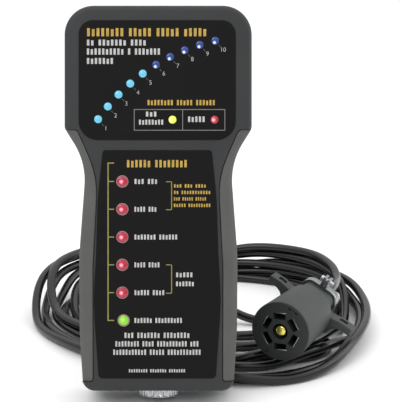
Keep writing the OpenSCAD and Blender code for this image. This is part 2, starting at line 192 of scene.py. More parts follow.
def coil_route():
    points = []
    backs = [turn[3] for turn in TURNS[1:]] + [LAST_BACK]
    for i, (right, front, left, back, squareness, front_x) in enumerate(TURNS):
        widest = front + WIDEST * (back - front)
        if i:
            points += quarter((BACK_X, widest), (right, back), 90, 0)
        points += quarter((front_x, widest), (right, front), 0 if i else -72, -90)
        widest = front + WIDEST * (backs[i] - front)
        points += quarter((front_x, widest), (left, front), -90, -180, squareness)
        points += quarter((BACK_X, widest), (left, backs[i]), -180, -270, BACK_LEFT)
    points += quarter((BACK_X, 183), (LAST_RIGHT, LAST_BACK), 90, 30)
    return points


def distances(points):
    steps = np.linalg.norm(np.diff(points, axis=0), axis=1)
    return np.concatenate([[0], np.cumsum(steps)])


def resample(points, step):
    points = np.asarray(points, float)
    along = distances(points)
    places = np.linspace(0, along[-1], int(round(along[-1] / step)) + 1)
    return np.column_stack([np.interp(places, along, c) for c in points.T])


def window(width):
    weights = np.hanning(2 * width + 3)[1:-1]
    return weights / weights.sum()


def ease_route(points, width):
    """Rounds a route's corners, with its two ends held."""
    eased = []
    for c in points.T:
        before = 2 * c[0] - c[width:0:-1]
        after = 2 * c[-1] - c[-2:-width - 2:-1]
        eased.append(np.convolve(np.concatenate([before, c, after]), window(width), mode="valid"))
    return np.column_stack(eased)


def ends_height(plan):
    """Height that the route has to keep: on the floor, and up at the two fittings."""
    along = distances(plan)
    near = np.array(NEAR_ROUTE)
    far = np.array(PLUG_ROUTE)
    near_h = np.interp(along, distances(near[:, :2]), near[:, 2])
    far_along = distances(far[:, :2])
    far_along = np.append(far_along, far_along[-1] + COME_DOWN)
    far_h = np.interp(along[-1] - along, far_along, np.append(far[:, 2], CORD_REST))
    return np.maximum(np.maximum(near_h, far_h), CORD_REST)


def lay_down(plan):
    """Each stretch rests on the floor or on the stretches that were laid before it."""
    width = 4
    own_stretch = 14
    spacing = ((plan[:, None] - plan[None]) ** 2).sum(2)
    upper, lower = np.nonzero(spacing < CORD_D ** 2)
    crossing = upper > lower + own_stretch
    upper, lower = upper[crossing], lower[crossing]
    lift = np.sqrt(CORD_D ** 2 - spacing[upper, lower])
    base = ends_height(plan)
    height = base.copy()
    for _ in range(12):
        need = np.full(len(plan), CORD_REST)
        np.maximum.at(need, upper, height[lower] + lift)
        padded = np.pad(need, width, mode="edge")
        need = np.max([padded[k:k + len(plan)] for k in range(2 * width + 1)], axis=0)
        raised = np.convolve(np.pad(need, width, mode="edge"), window(width), mode="valid")
        height = np.maximum(base, raised)
    return np.convolve(np.pad(height, width, mode="edge"), window(width), mode="valid")


def make_cord():
    near = [p[:2] for p in NEAR_ROUTE]
    far = [p[:2] for p in reversed(PLUG_ROUTE)]
    plan = resample(near + INNER_ROUTE + coil_route() + far, ROUTE_STEP)
    plan = ease_route(plan, 7)
    route = np.column_stack([plan, lay_down(plan)]) * MM
    data = bpy.data.curves.new("harness_cord", "CURVE")
    data.dimensions = "3D"
    data.bevel_depth = 1
    data.bevel_resolution = 5
    data.use_fill_caps = True
    spline = data.splines.new("POLY")
    spline.points.add(len(route) - 1)
    for point, place in zip(spline.points, route):
        point.co = (*place, 1)
        point.radius = CORD_REST * MM
    spline.use_smooth = True
    cord = bpy.data.objects.new("harness_cord", data)
    scene.collection.objects.link(cord)
    return cord


make_camera()
harness_cord = make_cord()
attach(harness_cord, "harness")
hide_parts("cord_coil", "near_lead", "plug_lead")


# ---------------------------------------------------------------- materials
def linear(rgb):
    """A colour given from 0 to 255, as the shader wants it."""
    share = [v / 255 for v in rgb]
    return [v / 12.92 if v <= 0.04045 else ((v + 0.055) / 1.055) ** 2.4 for v in share] + [1]


def scaled(rgb, amount):
    return [min(255, v * amount) for v in rgb]


def blank_material(name):
    material = bpy.data.materials.new(name)
    material.use_nodes = True
    return material, material.node_tree, material.node_tree.nodes["Principled BSDF"]


def noise_node(tree, scale, detail=3, stretch=(1, 1, 1)):
    """Noise in the object's own coordinates; scale is in features per metre."""
    where = tree.nodes.new("ShaderNodeTexCoord")
    mapping = tree.nodes.new("ShaderNodeMapping")
    mapping.inputs["Scale"].default_value = stretch
    noise = tree.nodes.new("ShaderNodeTexNoise")
    noise.inputs["Scale"].default_value = scale
    noise.inputs["Detail"].default_value = detail
    tree.links.new(where.outputs["Object"], mapping.inputs["Vector"])
    tree.links.new(mapping.outputs["Vector"], noise.inputs["Vector"])
    return noise.outputs["Fac"]


def ramp_node(tree, source, stops):
    ramp = tree.nodes.new("ShaderNodeValToRGB")
    while len(ramp.color_ramp.elements) < len(stops):
        ramp.color_ramp.elements.new(0.5)
    for element, (place, rgb) in zip(ramp.color_ramp.elements, stops):
        element.position = place
        element.color = linear(rgb)
    tree.links.new(source, ramp.inputs["Fac"])
    return ramp.outputs["Color"]


def range_node(tree, source, low, high):
    span = tree.nodes.new("ShaderNodeMapRange")
    span.inputs["From Min"].default_value = 0.3
    span.inputs["From Max"].default_value = 0.7
    span.inputs["To Min"].default_value = low
    span.inputs["To Max"].default_value = high
    tree.links.new(source, span.inputs["Value"])
    return span.outputs["Result"]


def finish_of(name, rgb, rough, spread=0.1, grain=2200, relief=0.15, depth=0.05, metal=0,
              stretch=(1, 1, 1), wear=40, **sockets):
    """A surface with a fine grain in its relief and slow changes in its colour and gloss."""
    material, tree, shader = blank_material(name)
    fine = noise_node(tree, grain, 4, stretch)
    broad = noise_node(tree, wear, 5)
    blend = tree.nodes.new("ShaderNodeMath")
    blend.operation = "MULTIPLY_ADD"
    blend.inputs[1].default_value = 0.4
    tree.links.new(fine, blend.inputs[0])
    weight = tree.nodes.new("ShaderNodeMath")
    weight.operation = "MULTIPLY"
    weight.inputs[1].default_value = 0.6
    tree.links.new(broad, weight.inputs[0])
    tree.links.new(weight.outputs[0], blend.inputs[2])
    stops = [(0.35, scaled(rgb, 1 - spread)), (0.65, scaled(rgb, 1 + spread))]
    tree.links.new(ramp_node(tree, blend.outputs[0], stops), shader.inputs["Base Color"])
    low, high = max(rough - 0.06, 0.03), min(rough + 0.06, 1)
    tree.links.new(range_node(tree, broad, low, high), shader.inputs["Roughness"])
    bump = tree.nodes.new("ShaderNodeBump")
    bump.inputs["Strength"].default_value = relief
    bump.inputs["Distance"].default_value = depth * MM
    tree.links.new(fine, bump.inputs["Height"])
    tree.links.new(bump.outputs["Normal"], shader.inputs["Normal"])
    shader.inputs["Metallic"].default_value = metal
    for socket, value in sockets.items():
        shader.inputs[socket.replace("_", " ")].default_value = value
    return material


def lens_of(name, core, painted_glint, glow, centre=(0, 0, 0), reach=2.6):
    """A clear coloured lens with a painted glint: a pale spot around the given centre that fades to
    the lens colour.
    """
    material, tree, shader = blank_material(name)
    where = tree.nodes.new("ShaderNodeTexCoord")
    gap = tree.nodes.new("ShaderNodeVectorMath")
    gap.operation = "DISTANCE"
    gap.inputs[1].default_value = [v * MM for v in centre]
    tree.links.new(where.outputs["Object"], gap.inputs[0])
    span = tree.nodes.new("ShaderNodeMapRange")
    span.inputs["From Max"].default_value = reach * MM
    tree.links.new(gap.outputs["Value"], span.inputs["Value"])
    # Painted glint: the pale spot is a highlight painted into the colour, and the emission takes the
    # same colour, so the spot glows too.
    colour = ramp_node(tree, span.outputs["Result"], [(0.2, painted_glint), (0.55, core), (1, core)])
    tree.links.new(colour, shader.inputs["Base Color"])
    tree.links.new(colour, shader.inputs["Emission Color"])
    shader.inputs["Emission Strength"].default_value = glow
    cloud = noise_node(tree, 700, 2)
    tree.links.new(range_node(tree, cloud, 0.1, 0.22), shader.inputs["Roughness"])
    shader.inputs["Coat Weight"].default_value = 0.6
    shader.inputs["Coat Roughness"].default_value = 0.08
    return material


CASE_GREY = finish_of("case_plastic", (50, 51, 52), 0.55, spread=0.05, relief=0.3,
                      Specular_IOR_Level=0.3)
GRIP_GREY = finish_of("grip_rubber", (86, 86, 84), 0.75, spread=0.05, relief=0.5, grain=2600,
                      Specular_IOR_Level=0.3)
LABEL_BLACK = finish_of("label_film", (15, 13, 13), 0.5, spread=0.08, relief=0.12, grain=3200,
                        Specular_IOR_Level=0.15)
SEAL_BLACK = finish_of("seal_rubber", (12, 12, 12), 0.8)
CORD_BLACK = finish_of("cord_jacket", (12, 13, 12), 0.25, spread=0.18, grain=900, relief=0.2,
                       depth=0.06, wear=22)
PLUG_GREY = finish_of("plug_nylon", (66, 69, 67), 0.55, spread=0.06, relief=0.35,
                      Specular_IOR_Level=0.35)
PLUG_FACE = finish_of("plug_face", (40, 43, 41), 0.6, spread=0.07, relief=0.3,
                      Specular_IOR_Level=0.3)
BOOT_BLACK = finish_of("boot_rubber", (24, 25, 25), 0.55, spread=0.12, relief=0.4)
MOULDED_BLACK = finish_of("black_plastic", (26, 26, 28), 0.45, spread=0.1)
NICKEL = finish_of("nickel", (196, 198, 202), 0.2, spread=0.06, metal=1, relief=0.1,
                   stretch=(1, 1, 8))
CLAMP_STEEL = finish_of("clamp_metal", (150, 154, 156), 0.24, spread=0.06, metal=1, relief=0.15)
SCREW_STEEL = finish_of("screw_steel", (190, 192, 196), 0.28, spread=0.05, metal=1)
DARK_STEEL = finish_of("dark_steel", (70, 70, 74), 0.35, spread=0.1, metal=1)
ALUMINIUM = finish_of("aluminium", (200, 202, 206), 0.35, spread=0.05, metal=1,
                      stretch=(1, 12, 1))
GOLD = finish_of("gold_contact", (225, 185, 95), 0.22, spread=0.06, metal=1)
BRASS = finish_of("brass", (228, 214, 110), 0.22, spread=0.1, metal=1, relief=0.2)
RESISTOR = finish_of("resistor_gold", (200, 160, 70), 0.35, spread=0.08, metal=1)
BOARD = finish_of("board_laminate", (20, 82, 44), 0.4, spread=0.12, wear=120)
TERMINAL = finish_of("terminal_green", (34, 120, 66), 0.45)
WIRES = finish_of("wire_colours", (188, 150, 40), 0.4, spread=0.3, wear=160)
BEZEL = finish_of("bezel_plastic", (152, 118, 124), 0.25, spread=0.1, relief=0.1)
INK_GOLD = finish_of("ink_gold", (182, 150, 62), 0.5, spread=0.12, wear=300)
INK_LINE = finish_of("ink_line", (140, 132, 66), 0.5, spread=0.08, wear=300)
INK_WHITE = finish_of("ink_white", (184, 184, 182), 0.55, spread=0.08, wear=300)
INK_PALE = finish_of("ink_pale", (170, 170, 170), 0.55, spread=0.08, wear=300)
INK_GREY = finish_of("ink_grey", (120, 118, 116), 0.55, spread=0.08, wear=300)


# ---------------------------------------------------------------- shapes
def unit(v):
    return v / np.linalg.norm(v)


def rounded(outline, step=7):
    """Points and outward normals along an outline of (x, y, corner radius), anticlockwise."""
    places = [np.array(p[:2], float) for p in outline]
    count = len(outline)
    points, normals = [], []
    for i, (_, _, radius) in enumerate(outline):
        before, here, after = places[i - 1], places[i], places[(i + 1) % count]
        u, v = unit(before - here), unit(after - here)
        radius = max(radius, 0.02)
        half = math.acos(max(-1, min(1, float(u @ v)))) / 2
        centre = here + unit(u + v) * radius / math.sin(half)
        start = here + u * radius / math.tan(half) - centre
        end = here + v * radius / math.tan(half) - centre
        a0 = math.atan2(start[1], start[0])
        sweep = math.atan2(end[1], end[0]) - a0
        sweep = (sweep + math.pi) % (2 * math.pi) - math.pi
        steps = max(2, math.ceil(abs(math.degrees(sweep)) / step))
        for k in range(steps + 1):
            a = a0 + sweep * k / steps
            ray = np.array([math.cos(a), math.sin(a)])
            points.append(centre + radius * ray)
            normals.append(math.copysign(1, sweep) * ray)
    return np.array(points), np.array(normals)


def both_sides(half):
    return list(half) + [(-x, y, r) for x, y, r in reversed(half)]


def new_piece(name, verts, faces, place, material, smooth=30):
    data = bpy.data.meshes.new(name)
    data.from_pydata([tuple(v) for v in verts], [], faces)
    data.transform(place)
    mesh = bmesh.new()
    mesh.from_mesh(data)
    bmesh.ops.remove_doubles(mesh, verts=mesh.verts, dist=1e-7)
    loose = [edge for edge in mesh.edges if not edge.link_faces]
    bmesh.ops.delete(mesh, geom=loose, context="EDGES")
    bmesh.ops.recalc_face_normals(mesh, faces=mesh.faces)
    if mesh.calc_volume(signed=True) < 0:
        bmesh.ops.reverse_faces(mesh, faces=mesh.faces)
    mesh.to_mesh(data)
    mesh.free()
    data.shade_smooth()
    data.set_sharp_from_angle(angle=math.radians(smooth))
    if material:
        data.materials.append(material)
    piece = bpy.data.objects.new(name, data)
    scene.collection.objects.link(piece)
    return piece


def loft(name, outline, levels, place, material=None, step=7):
    """A closed solid from an outline at each level of (inset, height)."""
    points, normals = rounded(outline, step)
    count = len(points)
    verts = [(*(points[i] - inset * normals[i]), z) for inset, z in levels for i in range(count)]
    faces = [tuple(range(count - 1, -1, -1))]
    for k in range(len(levels) - 1):
        for i in range(count):
            j = (i + 1) % count
            faces.append((k * count + i, k * count + j, (k + 1) * count + j, (k + 1) * count + i))
    faces.append(tuple((len(levels) - 1) * count + i for i in range(count)))
    return new_piece(name, verts, faces, place, material)


def edge_arc(radius, height, upward, inset=0, steps=6):
    """Levels of a rounded edge that ends at a height, with its side at an inset."""
    levels = []
    for k in range(steps + 1):
        a = math.pi / 2 * k / steps
        drop = radius * (1 - math.sin(a))
        levels.append((inset + radius * (1 - math.cos(a)), height - drop if upward else height + drop))
    return levels if upward else levels[::-1]


def pillow(inset, low, high, low_r, high_r):
    """Levels of a solid with rounded edges at its bottom and its top."""
    return edge_arc(low_r, low, False, inset) + edge_arc(high_r, high, True, inset)


def revolve(name, profile, place, material=None, steps=64, wave=None, smooth=30):
    """Turns a closed profile of (radius, height) about z. wave gives a radius change by angle."""
    rings = []
    for k in range(steps):
        a = 2 * math.pi * k / steps
        for r, z in profile:
            grown = r + (wave(a, r, z) if wave else 0)
            rings.append((grown * math.cos(a), grown * math.sin(a), z))
    count = len(profile)
    faces = []
    for k in range(steps):
        m = (k + 1) % steps
        for i in range(count):
            j = (i + 1) % count
            faces.append((k * count + i, m * count + i, m * count + j, k * count + j))
    piece = new_piece(name, rings, faces, place, material, smooth)
    mesh = bmesh.new()
    mesh.from_mesh(piece.data)
    bmesh.ops.dissolve_degenerate(mesh, dist=1e-8, edges=mesh.edges)
    mesh.to_mesh(piece.data)
    mesh.free()
    return piece


def prism(name, outline, low, high, place):
    return loft(name, outline, [(0, low), (0, high)], place)


def pin(radius, low, high, place, steps=32):
    return revolve("cutter", [(0, low), (radius, low), (radius, high), (0, high)], place,
                   steps=steps)


def use_modifiers(piece):
    graph = bpy.context.evaluated_depsgraph_get()
    result = bpy.data.meshes.new_from_object(piece.evaluated_get(graph))
    piece.modifiers.clear()
    piece.data = result


def combine(piece, other, operation):
    step = piece.modifiers.new("step", "BOOLEAN")
    step.operation = operation
    step.solver = "MANIFOLD"
    step.object = other
    use_modifiers(piece)
    bpy.data.objects.remove(other)
    return piece


def cut(piece, *others):
    for other in others:
        combine(piece, other, "DIFFERENCE")
    return piece


# Edges sharper than this, in degrees, are rounded.
BEVEL_ANGLE = 35


def tidy_edges(piece, width, smooth=30):
    """Welds flat facets and rounds the sharp edges."""
    mesh = bmesh.new()
    mesh.from_mesh(piece.data)
    bmesh.ops.remove_doubles(mesh, verts=mesh.verts, dist=2e-7)
    bmesh.ops.dissolve_limit(mesh, angle_limit=math.radians(0.6), verts=mesh.verts,
                             edges=mesh.edges)
    mesh.to_mesh(piece.data)
    mesh.free()
    if width:
        bevel = piece.modifiers.new("edges", "BEVEL")
        bevel.width = width * MM
        bevel.segments = 2
        bevel.limit_method = "ANGLE"
        bevel.angle_limit = math.radians(BEVEL_ANGLE)
        bevel.use_clamp_overlap = True
        use_modifiers(piece)
    piece.data.shade_smooth()
    piece.data.set_sharp_from_angle(angle=math.radians(smooth))
    return piece


def paint(piece, material):
    piece.data.materials.clear()
    piece.data.materials.append(material)
    return piece


def settle(piece, body, slot, *replaced):
    """The piece rides on its body, in place of these nodes."""
    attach(piece, body)
    if replaced:
        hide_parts(*replaced)
    return piece


def softened(node, body, slot, material, width):
    """A copy of a node with its sharp edges rounded."""
    piece = bpy.data.objects.new(node + "_finished", cad[node].data.copy())
    scene.collection.objects.link(piece)
    paint(piece, material)
    tidy_edges(piece, 0)
    tidy_edges(piece, width)
    paint(piece, material)
    return settle(piece, body, slot, node)


# ---------------------------------------------------------------- case
def case_solid(name, inset, low, high, low_r, high_r):
    return loft(name, both_sides(CASE_HALF), pillow(inset, low, high, low_r, high_r), CASE, step=5)


def grip_zone(side, gap, edge):
    """The rubber's reach on one side: wider by gap, with its lips rounded by edge."""
    outline = [(x, y, r) for x, y, r in GRIP_OUTLINE]
    if side < 0:
        outline = [(-x, y, r) for x, y, r in reversed(outline)]
    if edge:
        levels = pillow(0, -0.01, CASE_T + 0.01, edge, edge)
    else:
        levels = [(-gap, -2), (-gap, CASE_T + 2)]
    return loft("zone", outline, levels, CASE)


GRIP_ROUND = 8
CORE_T = GRIP_T + 0.1


def grip_groove(side):
    """What the shells lose to the grip on one side."""
    zone = grip_zone(side, 0.35, 0)
    core = case_solid("core", CORE_T, CORE_T, CASE_T - CORE_T, GRIP_ROUND - 2, GRIP_ROUND - 2)
    return cut(zone, core)


def make_front_shell():
    low = REAR_T + SEAL_T
    levels = [(0.5, low), (0.12, low + 0.15), (0, low + 0.5)] + edge_arc(4.5, CASE_T, True, 0, 8)
    shell = loft("front_case", both_sides(CASE_HALF), levels, CASE, CASE_GREY, step=5)
    hollow = loft("hollow", both_sides(CASE_HALF), [(5.6, low - 2), (5.6, 36.8)], CASE, step=5)
    cut(shell, hollow, grip_groove(-1), grip_groove(1))
    for x, w in FORCE_PLACES + [STATUS_PLACE, POWER_PLACE]:
        cut(shell, pin(SMALL_LAMP_R + 0.15, 30, 50, CASE @ Matrix.Translation((x, w, 0))))
    for x, w in CIRCUIT_PLACES + [GROUND_PLACE]:
        cut(shell, pin(LARGE_LAMP_R + BEZEL_T + 0.1, 30, 50, CASE @ Matrix.Translation((x, w, 0))))
    cut(shell, pin(13.2, -3, 10, CASE @ Matrix.Translation((0, 0, RECEPTACLE_Z)) @ ALONG_Y, 64))
    tidy_edges(shell, 0, smooth=25)
    settle(paint(shell, CASE_GREY), "handset", "case_plastic", "front_shell")


def make_rear_shell():
    levels = edge_arc(5, 0, False, 0, 8) + [(0, REAR_T - 0.5), (0.12, REAR_T - 0.15), (0.5, REAR_T)]
    shell = loft("rear_case", both_sides(CASE_HALF), levels, CASE, CASE_GREY, step=5)
    hollow = loft("hollow", both_sides(CASE_HALF), [(5.6, 5.2), (5.6, REAR_T + 2)], CASE, step=5)
    cut(shell, hollow, grip_groove(-1), grip_groove(1))
    for x, w in SCREW_PLACES:
        here = CASE @ Matrix.Translation((x, w, 0))
        cut(shell, pin(3.9, -2, 3.4, here), pin(1.9, 3, 8, here))
    cut(shell, pin(13.2, -3, 10, CASE @ Matrix.Translation((0, 0, RECEPTACLE_Z)) @ ALONG_Y, 64))
    panel = both_sides([(33, 62, 4), (30, 128, 4)])
    rim = loft("panel", panel, [(0, -1), (0, 0.5)], CASE)
    island = loft("island", panel, [(1.1, -2), (1.1, 2)], CASE)
    cut(shell, cut(rim, island))
    tidy_edges(shell, 0, smooth=25)
    settle(paint(shell, CASE_GREY), "handset", "case_plastic", "rear_shell")


def make_grip(side, name, node):
    grip = case_solid(name, 0, 0, CASE_T, GRIP_ROUND, GRIP_ROUND)
    combine(grip, grip_zone(side, 0, 1.3), "INTERSECT")
    core = case_solid("core", GRIP_T, GRIP_T, CASE_T - GRIP_T, GRIP_ROUND - 2, GRIP_ROUND - 2)
    cut(grip, core)
    tidy_edges(grip, 0, smooth=35)
    settle(paint(grip, GRIP_GREY), "handset", "grip_rubber", node)


# ---------------------------------------------------------------- lamps
def force_places():
    x, w = FORCE_START
    places = [(x, w)]
    for i in range(1, 10):
        heading = math.radians(FORCE_HEADING - FORCE_TURN * (i - 0.5))
        x += FORCE_PITCH * math.cos(heading)
        w += FORCE_PITCH * math.sin(heading)
        places.append((x, w))
    return places


FORCE_PLACES = force_places()


def make_lamp(name, place, radius, material, slot, node):
    """A lens with a shallow dome, standing in its hole."""
    x, w = place
    foot, shoulder, rise = 34, CASE_T + 0.2, 0.8
    profile = [(0, foot), (radius, foot), (radius, shoulder)]
    for k in range(1, 9):
        a = math.pi / 2 * k / 8
        profile.append((radius * math.cos(a) if k < 8 else 0, shoulder + rise * math.sin(a)))
    lamp = revolve(name, profile, Matrix.Scale(MM, 4) @ Matrix.Translation((0, 0, -CASE_T)),
                   material, steps=40)
    here = CASE @ Matrix.Translation((x, w, CASE_T))
    lamp.matrix_world = here @ Matrix.Scale(1 / MM, 4)
    settle(lamp, "handset", slot, node)


def make_bezel(name, place):
    x, w = place
    inner, outer = LARGE_LAMP_R, LARGE_LAMP_R + BEZEL_T
    top = CASE_T + 0.8
    profile = [(inner, 37), (outer, 37), (outer, top - 0.4), (outer - 0.15, top - 0.1),
               (outer - 0.4, top), (inner + 0.3, top - 0.1), (inner, top - 0.35)]
    here = CASE @ Matrix.Translation((x, w, 0))
    settle(revolve(name, profile, here, BEZEL, steps=48), "handset", "bezel_plastic",
           "lamp_bezels")


def make_lamps():
    # Each lens carries a painted glint, a pale spot set off its centre. Lamps 6 to 10 are unlit, yet
    # their dark blue lens glows faintly, which is painted light, and their glint sits towards the
    # lower left.
    lit = lens_of("blue_lens_lit", (96, 184, 212), (124, 202, 226), 0.2, (-0.6, 0.4, 0))
    dark = lens_of("blue_lens", (8, 52, 124), (226, 248, 255), 0.15, (-0.5, -1.3, 0.6), 2.4)
    red = lens_of("red_lens", (164, 14, 46), (255, 170, 185), 0.25, (-0.7, -0.2, 0.8), 3)
    green = lens_of("green_lens", (120, 186, 48), (160, 214, 76), 0.3, (-0.6, 0.4, 0.8), 4)
    yellow = lens_of("yellow_lens", (214, 232, 80), (244, 250, 170), 0.25, (-0.9, -0.9, 0.8), 3)
    for i, place in enumerate(FORCE_PLACES):
        make_lamp(f"force_lamp_{i + 1}", place, SMALL_LAMP_R, lit if i < 5 else dark,
                  "blue_lens", "brake_force_lamps")
    for i, place in enumerate(CIRCUIT_PLACES):
        make_lamp(f"circuit_lamp_{i + 1}", place, LARGE_LAMP_R, red, "red_lens", "circuit_lamps")
        make_bezel(f"circuit_bezel_{i + 1}", place)
    make_lamp("ground_light", GROUND_PLACE, LARGE_LAMP_R, green, "green_lens", "ground_lamp")
    make_bezel("ground_bezel", GROUND_PLACE)
    make_lamp("status_light", STATUS_PLACE, SMALL_LAMP_R, yellow, "yellow_lens", "status_lamp")
    make_lamp("power_light", POWER_PLACE, SMALL_LAMP_R, red, "red_lens", "power_lamp")


# ---------------------------------------------------------------- print on the labels
INK_LOW = LABEL_TOP + 0.005
INK_HIGH = LABEL_TOP + 0.05


class Ink:
    """Flat printed shapes of one colour, gathered into one piece."""

    def __init__(self):
        self.verts = []
        self.faces = []

    def quad(self, corners):
        """A thin plate with these four corners, anticlockwise in the case plane."""
        n = len(self.verts)
        for z in (INK_LOW, INK_HIGH):
            self.verts += [(x, w, z) for x, w in corners]
        self.faces.append((n + 3, n + 2, n + 1, n))
        self.faces.append((n + 4, n + 5, n + 6, n + 7))
        for i in range(4):
            j = (i + 1) % 4
            self.faces.append((n + i, n + j, n + 4 + j, n + 4 + i))

    def bar(self, x0, x1, w0, w1):
        self.quad([(x0, w0), (x1, w0), (x1, w1), (x0, w1)])

    def line(self, start, end, width):
        a = np.array(start, float)
        b = np.array(end, float)
        side = unit(np.array([a[1] - b[1], b[0] - a[0]])) * width / 2
        self.quad([a - side, b - side, b + side, a + side])

    def words(self, x0, x1, w0, w1, lengths):
        """Blank bars in place of a line of words, broken where letters would break."""
        cells = sum(lengths) + 0.8 * (len(lengths) - 1)
        cell = (x1 - x0) / cells
        height = w1 - w0
        x = x0
        for i, length in enumerate(lengths):
            for k in range(length):
                drop = 0.12 * height if (k * 5 + i * 3) % 4 == 1 else 0
                self.bar(x + 0.16 * cell, x + 0.74 * cell, w0, w1 - drop)
                x += cell
            x += 0.8 * cell

    def piece(self, name, material):
        place = CASE @ Matrix.Translation((PRINT_X, 0, 0))
        made = new_piece(name, self.verts, self.faces, place, material)
        settle(made, "handset", "label_film")


def number_mesh(text, place, height):
    """A generic numeral as a thin plate, centred on its place."""
    data = bpy.data.curves.new("numeral", "FONT")
    data.body = text
    data.size = height / 0.7
    data.align_x = "CENTER"
    data.align_y = "CENTER"
    data.extrude = (INK_HIGH - INK_LOW) / 2
    data.offset = -0.02
    glyph = bpy.data.objects.new("numeral", data)
    scene.collection.objects.link(glyph)
    mesh = bpy.data.meshes.new_from_object(glyph.evaluated_get(bpy.context.evaluated_depsgraph_get()))
    bpy.data.objects.remove(glyph)
    x, w = place
    mesh.transform(CASE @ Matrix.Translation((x, w, (INK_LOW + INK_HIGH) / 2)))
    return mesh


def make_numbers():
    mesh = bmesh.new()
    for i, (x, w) in enumerate(FORCE_PLACES):
        mesh.from_mesh(number_mesh(str(i + 1), (x + 5.3, w - 6.2), 2.9))
    data = bpy.data.meshes.new("force_numbers")
    mesh.to_mesh(data)
    mesh.free()
    data.materials.append(INK_PALE)
    numbers = bpy.data.objects.new("force_numbers", data)
    scene.collection.objects.link(numbers)
    settle(numbers, "handset", "label_film")


def make_print():
    gold = Ink()
    gold.words(-48.1, 34.2, 241.7, 247.2, (8, 5, 5, 5))
    gold.words(-6.8, 39.8, 194.8, 198.4, (8, 5, 6))
    gold.words(-20.9, 20.9, 152.6, 157.6, (6, 8))
    for i, lengths in enumerate(((3, 3, 4), (2, 11), (3, 5, 5), (5, 9))):
        w = 138.8 - 4.4 * i
        gold.words(11.2, 36.6 - (0 if i % 2 else 3), w, w + 2.3, lengths)
    gold.piece("gold_print", INK_GOLD)

    white = Ink()
    white.words(-48.1, -7.0, 235.4, 239.4, (2, 7, 4))
    white.words(-48.1, 2.6, 229.2, 233.4, (10, 1, 7))
    white.words(-48.1, -29.3, 222.9, 226.9, (7,))
    white.words(-8.0, 0.2, 187.1, 190.5, (3,))
    white.words(-12.6, 4.7, 181.6, 185.0, (8,))
    white.words(20.7, 33.0, 183.4, 187.2, (5,))
    ends = ((0.6, (3, 3)), (0, (4, 3)), (14.2, (7, 6)), (2.1, (4, 4)), (5.4, (5, 4)), (17.4, (6, 9)))
    for i, (end, lengths) in enumerate(ends):
        w = 143 - CIRCUIT_PITCH * i - 1.7
        white.words(-15.7, end, w, w + 3.4, lengths)
    white.words(12.6, 24.6, 77.9, 81.1, (5,))
    white.words(12.6, 25.5, 71.8, 75.0, (6,))
    for half, w, lengths in ((22.5, 38.4, (3, 7, 8)), (28.6, 32.6, (8, 4, 10, 3)),
                             (30.1, 26.9, (11, 5, 11))):
        white.words(-half, half, w - 1.8, w + 1.8, lengths)
    white.words(-19.4, 19.4, 13.2, 15.4, (8, 7, 7))
    white.piece("white_print", INK_WHITE)

    frame_lines = Ink()
    left, right, low, high, divider = -15.5, 46.1, 177.8, 191.9, 17.4
    half = 0.25
    for w in (low, high):
        frame_lines.bar(left - half, right + half, w - half, w + half)
    for x in (left, divider, right):
        frame_lines.bar(x - half, x + half, low + half, high - half)
    for x, w in FORCE_PLACES:
        frame_lines.line((x + 3, w - 2.9), (x + 4.4, w - 4.5), 0.2)
    frame_lines.piece("status_frame", INK_GREY)

    lines = Ink()
    x, top, low, half = -33.3, 155.5, GROUND_PLACE[1], 0.4
    lines.bar(x - half, x + half, low - half, top + half)
    for w in [top] + [143 - CIRCUIT_PITCH * i for i in range(1, 6)] + [143]:
        lines.bar(x + half, x + 4.1, w - 0.35, w + 0.35)
    for high_w, low_w in ((142.8, 123.8), (86.3, 67.0)):
        lines.bar(9.9 - 0.3, 9.9 + 0.3, low_w, high_w)
        for w in (low_w, high_w):
            lines.bar(9.9 - 3.8, 9.6, w - 0.3, w + 0.3)
    lines.piece("circuit_lines", INK_LINE)
    make_numbers()


# ---------------------------------------------------------------- receptacle under the case
def make_receptacle():
    """The nickel fitting: a ribbed collar with a rounded lip."""
    lip = 1
    outer = RECEPTACLE_R
    profile = [(INSERT_R, 15 + RECEPTACLE_DROP), (INSERT_R, 0.7), (INSERT_R + 0.5, 0)]
    for k in range(7):
        a = math.pi / 2 * k / 6
        profile.append((outer - lip + lip * math.sin(a), lip - lip * math.cos(a)))
    profile += [(outer, RECEPTACLE_DROP - 0.1), (12.9, RECEPTACLE_DROP - 0.1),
                (12.9, 15 + RECEPTACLE_DROP)]

    def ribs(a, r, z):
        return -0.9 * abs(math.sin(9 * a)) ** 3 if r > 13.5 and z > lip * 0.8 else 0

    place = CASE @ Matrix.Translation((0, -RECEPTACLE_DROP, RECEPTACLE_Z)) @ ALONG_Y
    settle(revolve("receptacle_collar", profile, place, NICKEL, steps=144, wave=ribs, smooth=40),
           "handset", "nickel", "receptacle_shell")


# ---------------------------------------------------------------- plug
def along_plug(y):
    return PLUG @ Matrix.Translation((0, y, 0)) @ ALONG_Y


WING = [(12, -7.8, 0), (20.8, -7.8, 2), (24, -0.4, 6), (29, 1.6, 8), (37.4, 1.8, 1.4),
        (37.2, 7.4, 1.2), (27, 7.6, 6), (21, 6.4, 6), (12, 6.4, 0)]
WING_LOW = 55
WING_LEN = 11


def make_wing(side):
    """One slotted latch wing behind the plug's barrel."""
    place = PLUG @ Matrix.Scale(side, 4, (1, 0, 0))
    back = place @ Matrix.Translation((0, WING_LOW + WING_LEN, 0))
    upright = back @ Matrix.Rotation(math.pi / 2, 4, "X")
    wing = loft("wing", WING, pillow(0, 0, WING_LEN, 0.8, 0.8), upright)
    low, high = WING_LOW + 3.5, WING_LOW + 8
    slot = [(24.6, low, 1), (31.6, low, 1), (31.6, high, 1), (24.6, high, 1)]
    return cut(wing, prism("slot", slot, -12, 14, place))


def strap_outline(d):
    """The strap's outline across the plug's axis, smaller by d."""
    return both_sides([(15.5 - d, d - 18.5, 8 - d), (15.5 - d, 17 - d, 8 - d)])


